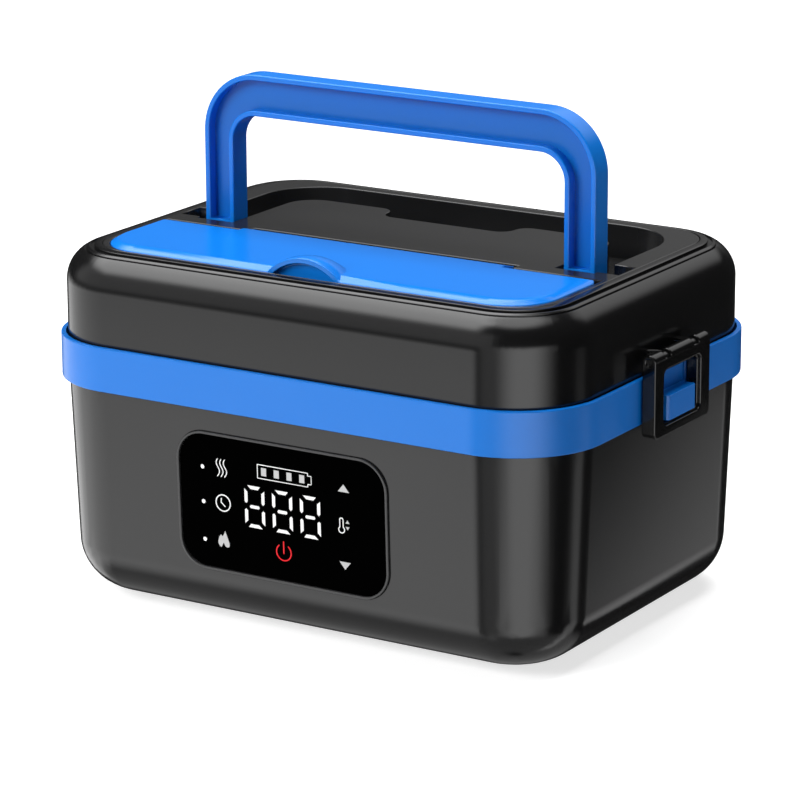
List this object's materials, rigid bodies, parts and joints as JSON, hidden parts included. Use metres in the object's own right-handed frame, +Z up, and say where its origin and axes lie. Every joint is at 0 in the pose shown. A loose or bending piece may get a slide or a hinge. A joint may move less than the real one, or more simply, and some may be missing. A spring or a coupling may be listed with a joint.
{
  "type": "electric lunch box",
  "caption": "Heated lunch box with a control panel, lift-off lid, two side latches, fold-down handle, flap compartment and a lift-out food container.",
  "frame": {"origin": "centre of the footprint, on the plane that the feet stand on", "axes": "+Z up, the control panel faces -Y, +X to the right seen from the front"},
  "size_m": [0.255, 0.181, 0.2061],
  "materials": {
    "shell_black": "satin moulded polypropylene, charcoal black",
    "deck_black": "polished moulded plastic, charcoal black",
    "blue": "satin moulded ABS, bright blue",
    "latch_black": "glossy black plastic",
    "panel_glass": "polished black acrylic with printed signs",
    "bezel": "dark grey plastic frame",
    "board": "green solder mask",
    "chips": "black component bodies",
    "steel": "brushed stainless steel",
    "liner": "drawn aluminium",
    "element": "copper coloured tube",
    "foam": "cream foam",
    "cell": "green shrink wrap",
    "holder": "black moulded plastic",
    "rubber": "matt black rubber",
    "silicone": "translucent grey silicone",
    "cover_grey": "grey moulded polypropylene"
  },
  "bodies": {
    "base": {"base_shell": "shell_black", "collar": "blue", "catch_left": "blue", "catch_right": "blue", "display_bezel": "bezel", "display_glass": "panel_glass", "display_board": "board", "digit_module": "chips", "inner_liner": "liner", "heater_element": "element", "heater_plate": "liner", "thermistor": "chips", "insulation_pad": "foam", "battery_cells": "cell", "battery_holder": "holder", "battery_cover": "shell_black", "cover_screws": "steel", "main_board": "board", "board_parts": "chips", "power_socket": "holder", "feet": "rubber"},
    "plug": {"socket_plug": "rubber"},
    "pan": {"food_container": "steel"},
    "pan_cover": {"container_cover": "cover_grey", "cover_gasket": "silicone", "steam_vent": "silicone"},
    "lid": {"lid_shell": "shell_black", "lid_deck": "deck_black", "inner_cover": "shell_black", "lid_gasket": "silicone", "lid_insulation": "foam", "lid_screws": "steel", "handle_pins": "steel", "flap_pins": "steel", "latch_pins": "latch_black"},
    "handle": {"handle": "blue"},
    "flap": {"flap": "blue"},
    "latch_left": {"latch_left": "latch_black"},
    "latch_right": {"latch_right": "latch_black"}
  },
  "joints": [
    {"name": "lid_lift", "type": "slide", "parent": "base", "child": "lid", "axis": [0, 0, 1], "range_m": [0, 0.2]},
    {"name": "pan_lift", "type": "slide", "parent": "base", "child": "pan", "axis": [0, 0, 1], "range_m": [0, 0.1]},
    {"name": "pan_cover_lift", "type": "slide", "parent": "base", "child": "pan_cover", "axis": [0, 0, 1], "range_m": [0, 0.15]},
    {"name": "plug_pull", "type": "slide", "parent": "base", "child": "plug", "axis": [0, 1, 0], "range_m": [0, 0.015]},
    {"name": "handle_fold", "type": "hinge", "parent": "lid", "child": "handle", "pos_m": [0, 0, 0.1403], "axis": [-1, 0, 0], "range_deg": [0, 90]},
    {"name": "flap_hinge", "type": "hinge", "parent": "lid", "child": "flap", "pos_m": [0, -0.02435, 0.1435], "axis": [-1, 0, 0], "range_deg": [0, 95]},
    {"name": "latch_left_hinge", "type": "hinge", "parent": "lid", "child": "latch_left", "pos_m": [-0.1245, 0, 0.1166], "axis": [0, 1, 0], "range_deg": [0, 100]},
    {"name": "latch_right_hinge", "type": "hinge", "parent": "lid", "child": "latch_right", "pos_m": [0.1245, 0, 0.1166], "axis": [0, -1, 0], "range_deg": [0, 100]}
  ],
  "couplings": [
    {"joint": "pan_lift", "follows": "lid_lift", "ratio": 0.5},
    {"joint": "pan_cover_lift", "follows": "lid_lift", "ratio": 0.75}
  ]
}
